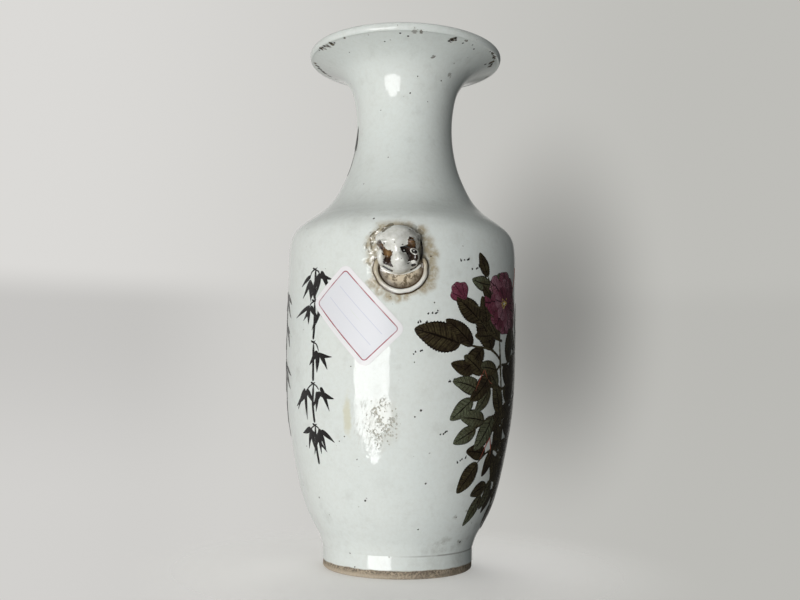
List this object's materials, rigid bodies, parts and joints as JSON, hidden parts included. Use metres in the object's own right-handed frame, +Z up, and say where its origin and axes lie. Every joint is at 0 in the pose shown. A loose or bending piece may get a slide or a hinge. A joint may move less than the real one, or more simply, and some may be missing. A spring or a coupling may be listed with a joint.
{
  "type": "two-handled vase",
  "caption": "Porcelain vase with a trumpet mouth, waisted neck, tall round-shouldered body, low foot and lion-mask ring handles, for display or cut flowers.",
  "frame": {"origin": "middle of the face that the vase stands on", "axes": "+Z up through the mouth; the lion masks are on -Y (front) and +Y (back)"},
  "size_m": [0.1022, 0.1212, 0.23],
  "materials": {
    "glazed_porcelain": "clear glossy glaze with a faint green cast",
    "luting_slip": "fired slip, unglazed",
    "label_paper": "smooth coated label paper with a printed border",
    "dark_enamel": "painted overglaze enamel, dark green, brown and black",
    "rose_enamel": "painted overglaze enamel, rose"
  },
  "bodies": {
    "root": {"foot_ring": "glazed_porcelain", "foot_seam_slip": "luting_slip", "lower_body_section": "glazed_porcelain", "waist_seam_slip": "luting_slip", "upper_body_section": "glazed_porcelain", "neck_seam_slip": "luting_slip", "neck_section": "glazed_porcelain", "price_label": "label_paper", "mask_slip_front": "luting_slip", "lion_mask_front": "glazed_porcelain", "handle_ring_front": "glazed_porcelain", "mask_slip_back": "luting_slip", "lion_mask_back": "glazed_porcelain", "handle_ring_back": "glazed_porcelain"}
  },
  "joints": []
}
